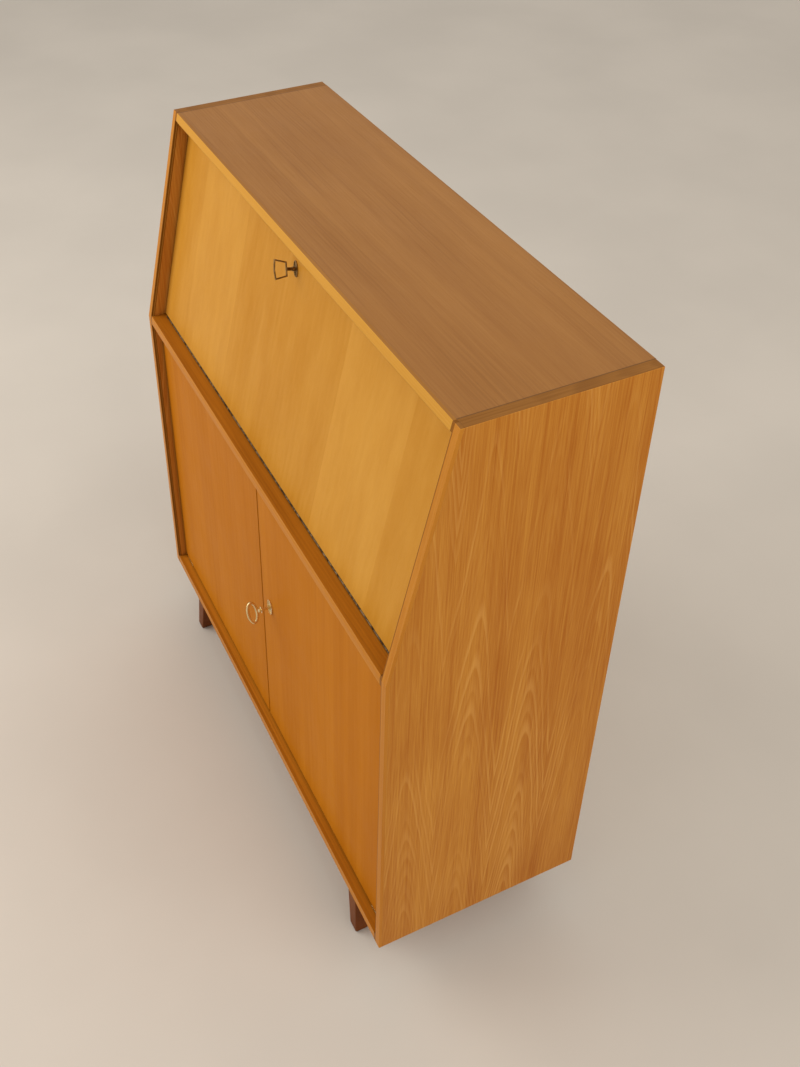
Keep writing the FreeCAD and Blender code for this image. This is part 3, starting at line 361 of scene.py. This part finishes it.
def wood(name, along, across, tones, seed, edge_along=None, edge_tones=None, joint=None, **changes):
    """Varnished wood with its grain along one axis.

    Tones are light, dark and line colours.  Level edges may have their own grain and tones, and joint is a
    dark line's axis, its distance from the desk's middle and its width.  It is a real line at the top panel's
    edges and painted shade at the step on the side lippings.  Every wood also gets painted shade in its
    corners.
    """
    look = {**plain_look, **changes}
    s = Shader(name)
    level = level_faces(s)
    place = grain_place(s, along, edge_along, level)
    lines = growth_lines(s, place, along, across, look, seed)
    fibre = s.noise(place, fibres, seed, along)
    pore = s.spread(s.noise(place, pores, seed, along), *pore_range)
    worn = s.spread(s.noise(place, worn_places, seed, along), *wear_range)
    wear = s.math("MULTIPLY", s.edges(worn_edge), worn)

    light, dark, line = tones
    # the pores' tone, also used for the top panel's edge line and for painted shade at the steps and in
    # corners
    pore_and_shade_tone = darker(dark, pore_and_shade_darkness)
    if edge_tones:
        light, dark, line = (s.mix(level, face, edge) for face, edge in zip(tones, edge_tones))
    base = s.mix(colour_depth(s, place, along, across, look, seed, fibre), light, dark)
    base = s.mix(s.math("MULTIPLY", lines, look["line_strength"]), base, line)
    base = s.mix(s.math("MULTIPLY", pore, look["pore_strength"]), base, pore_and_shade_tone)
    base = s.mix(s.math("MULTIPLY", wear, look["wear_strength"]), base, line)
    # a dark line: real at the top panel's edges, painted shade at the step on the side lippings
    if joint:
        base = s.mix(s.math("MULTIPLY", joint_and_shade_line(s, *joint), look["joint_and_shade_strength"]), base, pore_and_shade_tone)
    # painted shade in the corners where pieces meet, from ambient occlusion
    base = s.mix(s.math("MULTIPLY", s.corners(corner_shade_reach), look["corner_shade_strength"]), base, pore_and_shade_tone)

    height = s.math("MULTIPLY", fibre, look["fibre_relief"])
    height = s.math("MULTIPLY_ADD", lines, look["line_relief"], height)
    height = s.math("SUBTRACT", height, s.math("MULTIPLY", pore, look["pore_relief"]))
    rough = s.swing(look["roughness"], s.noise(place, smudges, seed, along), look["smudge_roughness"])
    rough = s.swing(rough, fibre, look["fibre_roughness"])
    rough = s.math("MULTIPLY_ADD", wear, look["wear_roughness"], rough, clamp=True)
    normal = s.relief(height, look["bump"], relief_height, soft_edge)
    fixed = {"Coat_Weight": look["varnish"], "Coat_Roughness": look["varnish_roughness"]}
    return s.finish(base, rough, normal, Specular_IOR_Level=look["shine"], **fixed)


def front_veneers():
    """The flap's and the doors' quiet veneers."""
    honey = tone(207, 149, 58), tone(188, 126, 30), tone(218, 168, 84)
    door = tone(194, 121, 27), tone(174, 101, 13), tone(202, 134, 44)
    quiet = {"line_strength": 0.10, "band_strength": 0.40, "fibre_strength": 0.28, "pore_strength": 0.05}
    return {
        "honey": wood("honey_veneer", Z, X, honey, seed=3.0, figure=0.235, spacing=0.014, leaf=0.175,
                      leaf_contrast=0.52, shine=0.09, **quiet),
        "door": wood("door_veneer", Z, X, door, seed=11.0, figure=0.150, spacing=0.016, rise=0.020, leaf=0.15,
                     shine=0.02, varnish=0.01, **quiet),
    }


def carcass_woods():
    """The sides, top, shelf and bottom, and the solid lippings on their front edges."""
    side = tone(202, 138, 54), tone(164, 90, 20), tone(224, 166, 86)
    top = tone(170, 118, 58), tone(138, 88, 36), tone(122, 76, 30)
    top_edge = tone(156, 106, 50), tone(122, 76, 28), tone(106, 64, 24)
    shelf = tone(182, 112, 26), tone(142, 80, 10), tone(110, 58, 6)
    tray = tone(190, 120, 30), tone(156, 90, 14), tone(124, 68, 8)
    pale_lip = tone(212, 155, 64), tone(198, 138, 44), tone(224, 174, 90)
    deep_lip = tone(198, 131, 46), tone(176, 106, 26), tone(212, 152, 70)
    straight = {"figure": 0.40, "spacing": 0.0050, "wander": 0.016, "line_strength": 0.30}
    strip = {"figure": 0.40, "spacing": 0.0040, "wander": 0.008, "line_strength": 0.2}
    arched = {"figure": 0.092, "figure_start": 0.032, "spacing": 0.0048, "rise": 0.105, "wander": 0.030,
              "tip": 0.010, "line_strength": 0.40}
    top_joint = (X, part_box("top_panel")[1].x, top_joint_width)
    # painted shade on each side lipping, at the step into the opening
    opening_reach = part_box("side_lipping_right")[0].x + front_step
    step_shade = (X, opening_reach, -step_shade_width)
    return {
        "side": wood("side_veneer", Z, Y, side, seed=23.0, edge_along=Y, edge_tones=top_edge,
                     band_strength=0.30, cloud_strength=0.7, streaks=fine_streaks, streak_strength=1.24,
                     fibre_strength=1.00, pore_strength=0.20, leaf_contrast=0.0, **arched),
        "top": wood("top_veneer", X, Y, top, seed=31.0, joint=top_joint, band_strength=0.30,
                    fibre_strength=0.68, pore_strength=0.35, varnish=0.05, roughness=0.55, shine=0.25,
                    **straight),
        "shelf": wood("shelf_veneer", X, Y, shelf, seed=37.0, band_strength=0.60, streak_strength=1.0,
                      fibre_strength=0.60, pore_strength=0.30, **straight),
        "tray": wood("tray_veneer", X, Y, tray, seed=39.0, band_strength=0.50, streak_strength=0.8,
                     fibre_strength=0.60, pore_strength=0.30, **straight),
        "lip_z": wood("upright_lipping", Z, X, deep_lip, seed=41.0, edge_along=Y, edge_tones=top_edge,
                      joint=step_shade, **strip),
        "lip_x": wood("level_lipping", X, Z, deep_lip, seed=43.0, edge_along=X, edge_tones=shelf, **strip),
        "lip_top": wood("top_lipping", X, Z, pale_lip, seed=45.0, edge_along=X, edge_tones=top, **strip),
    }


def inner_woods():
    """The woods inside and behind the desk, and its legs."""
    inner = tone(222, 178, 112), tone(200, 148, 80), tone(186, 132, 68)
    ply = tone(206, 168, 118), tone(180, 138, 86), tone(160, 116, 66)
    leg = tone(122, 66, 28), tone(80, 38, 12), tone(134, 80, 38)
    inside = {"figure": 0.50, "spacing": 0.012, "rise": 0.015, "line_strength": 0.2}
    return {
        "inner": wood("inner_veneer", X, Y, inner, seed=47.0, **inside),
        "inner_z": wood("inner_upright", Z, X, inner, seed=53.0, **inside),
        "ply": wood("back_plywood", Z, X, ply, seed=59.0, figure=0.60, spacing=0.020, rise=0.06,
                    line_strength=0.35, varnish=0.0, roughness=0.7),
        "dowel": wood("beech_dowel", X, Y, inner, seed=61.0, figure=0.05, spacing=0.003,
                      varnish=0.0, roughness=0.6),
        "leg": wood("stained_leg", Z, X, leg, seed=67.0, figure=0.06, spacing=0.0035, rise=0.03,
                    wander=0.008, line_strength=0.25),
    }


# ================================================================ metal and plastic
def metal(name, tones, roughness, tarnish, seed):
    """Metal with fine scratches, smudges and tarnish off its edges.  Tones are bright and dull."""
    s = Shader(name)
    place = s.place()
    smudged = s.spread(s.noise(place, metal_smudges, seed), *smudge_range)
    spots = s.noise(place, metal_spots, seed)
    scratches = s.noise(place, metal_scratches, seed)
    cover = s.math("MULTIPLY_ADD", smudged, tarnish, s.math("MULTIPLY", spots, tarnish * spot_tarnish))
    kept = s.math("SUBTRACT", 1.0, s.math("MULTIPLY", s.edges(metal_worn_edge), edge_polish))
    cover = s.math("MULTIPLY", cover, kept, clamp=True)
    base = s.mix(cover, *tones)
    rough = s.math("MULTIPLY_ADD", cover, tarnish_roughness, roughness)
    rough = s.swing(rough, scratches, scratch_roughness, clamp=True)
    height = s.math("MULTIPLY_ADD", scratches, metal_relief, s.math("MULTIPLY", spots, metal_relief))
    normal = s.relief(height, metal_bump, metal_relief_height, metal_soft_edge)
    return s.finish(base, rough, normal, Metallic=1.0)


def plastic(name, base_tone, seed):
    """Moulded plastic with a fine grain, dust, and scuffs on its edges."""
    s = Shader(name)
    place = s.place()
    grain = s.noise(place, plastic_grain, seed)
    dust = s.noise(place, plastic_dust, seed)
    dusty = s.math("MULTIPLY", s.spread(dust, *dust_range), dust_strength)
    scuffed = s.math("MULTIPLY", s.edges(plastic_worn_edge), s.spread(dust, *scuff_range))
    base = s.mix(dusty, base_tone, tone(*dust_tone))
    base = s.mix(s.math("MULTIPLY", scuffed, scuff_strength), base, tone(*scuff_tone))
    rough = s.math("MULTIPLY_ADD", grain, plastic_grain_roughness, plastic_roughness)
    return s.finish(base, rough, s.relief(grain, plastic_bump, plastic_relief_height, plastic_soft_edge))


def fittings():
    """The metals and the plastic of the fittings."""
    brass = tone(240, 218, 164), tone(190, 154, 92)
    aged = tone(176, 142, 88), tone(88, 60, 30)
    zinc = tone(196, 194, 190), tone(140, 136, 130)
    grimy = tone(128, 108, 82), tone(64, 48, 32)
    return {
        "brass": metal("polished_brass", brass, roughness=0.20, tarnish=0.30, seed=71.0),
        "aged_brass": metal("aged_brass", aged, roughness=0.32, tarnish=0.70, seed=73.0),
        "steel": metal("zinc_steel", zinc, roughness=0.28, tarnish=0.45, seed=79.0),
        "dull_steel": metal("dull_steel", grimy, roughness=0.50, tarnish=0.80, seed=81.0),
        "black_plastic": plastic("black_plastic", tone(34, 33, 32), seed=83.0),
    }


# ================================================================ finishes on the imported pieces
slot_finishes = {
    "honey_veneer": "honey",
    "side_veneer": "side",
    "top_veneer": "top",
    "lipping_wood": "lip_x",
    "inner_veneer": "inner",
    "plywood": "ply",
    "leg_wood": "leg",
    "dowel_wood": "dowel",
    "brass": "brass",
    "aged_brass": "aged_brass",
    "steel": "steel",
    "black_plastic": "black_plastic",
}

# Pieces whose finish isn't the one of their material slot
piece_finishes = {
    "door_left": "door",
    "door_right": "door",
    "writing_shelf": "shelf",
    "bottom_panel": "tray",
    "side_lipping_left": "lip_z",
    "side_lipping_right": "lip_z",
    "top_lipping": "lip_top",
    "piano_hinge_shelf_leaf": "dull_steel",
    "piano_hinge_flap_leaf": "dull_steel",
    "pigeonhole_end_left": "inner_z",
    "pigeonhole_end_right": "inner_z",
    "pigeonhole_dividers": "inner_z",
}


def finish_pieces():
    finishes = {**front_veneers(), **carcass_woods(), **inner_woods(), **fittings()}
    slots = {part["node"]: part["material_slot"] for part in frame["record"]["subparts"]}
    for name, node in frame["nodes"].items():
        finish = piece_finishes.get(name) or slot_finishes[slots[name]]
        for place in node.material_slots:
            place.material = finishes[finish]


# ================================================================ studio and camera
def floor_material():
    s = Shader("studio_floor")
    place = s.place()
    mottle = s.noise(place, floor_mottle, floor_seed)
    grain = s.noise(place, floor_grain, floor_seed)
    pale = tone(*floor_tone)
    base = s.mix(s.spread(mottle, *mottle_range), pale, darker(pale, floor_shade))
    rough = s.math("MULTIPLY_ADD", grain, floor_grain_roughness, floor_roughness)
    bump = s.add("Bump", {"Strength": floor_bump, "Distance": floor_relief_height, "Height": grain})
    return s.finish(base, rough, bump.outputs[0])


def studio_floor():
    half = floor_size / 2
    corners = [(-half, -half, 0), (half, -half, 0), (half, half, 0), (-half, half, 0)]
    mesh = bpy.data.meshes.new("studio_floor")
    mesh.from_pydata(corners, [], [(0, 1, 2, 3)])
    mesh.materials.append(floor_material())
    floor = bpy.data.objects.new("studio_floor", mesh)
    floor.location.z = cad_box[0].z
    bpy.context.scene.collection.objects.link(floor)


def soft_light(name, light):
    data = bpy.data.lights.new(name, "AREA")
    data.shape = "RECTANGLE"
    data.size, data.size_y = light.size
    data.energy = light.power
    data.color = light.colour
    lamp = bpy.data.objects.new(name, data)
    lamp.location = light.place
    lamp.rotation_euler = (Vector(light.aim) - Vector(light.place)).to_track_quat("-Z", "Y").to_euler()
    bpy.context.scene.collection.objects.link(lamp)


def studio_lights():
    soft_light("window_light", window_light)
    soft_light("fill_light", fill_light)
    world = bpy.data.worlds.new("studio")
    world.use_nodes = True
    background = world.node_tree.nodes["Background"]
    background.inputs["Color"].default_value = tone(*sky_tone)
    background.inputs["Strength"].default_value = sky_strength
    bpy.context.scene.world = world
    bpy.context.scene.view_settings.view_transform = view_transform


def studio_camera():
    data = bpy.data.cameras.new("camera")
    data.sensor_width = sensor_long_side
    data.lens = camera_lens
    data.shift_x, data.shift_y = camera_shift
    camera = bpy.data.objects.new("camera", data)
    turn = Matrix.Rotation(math.radians(camera_azimuth), 4, "Z")
    nod = Matrix.Rotation(math.radians(90 - camera_down), 4, "X")
    roll = Matrix.Rotation(math.radians(camera_roll), 4, "Z")
    camera.matrix_world = Matrix.Translation(camera_place) @ turn @ nod @ roll
    bpy.context.scene.collection.objects.link(camera)
    bpy.context.scene.camera = camera


finish_pieces()
studio_floor()
studio_lights()
studio_camera()
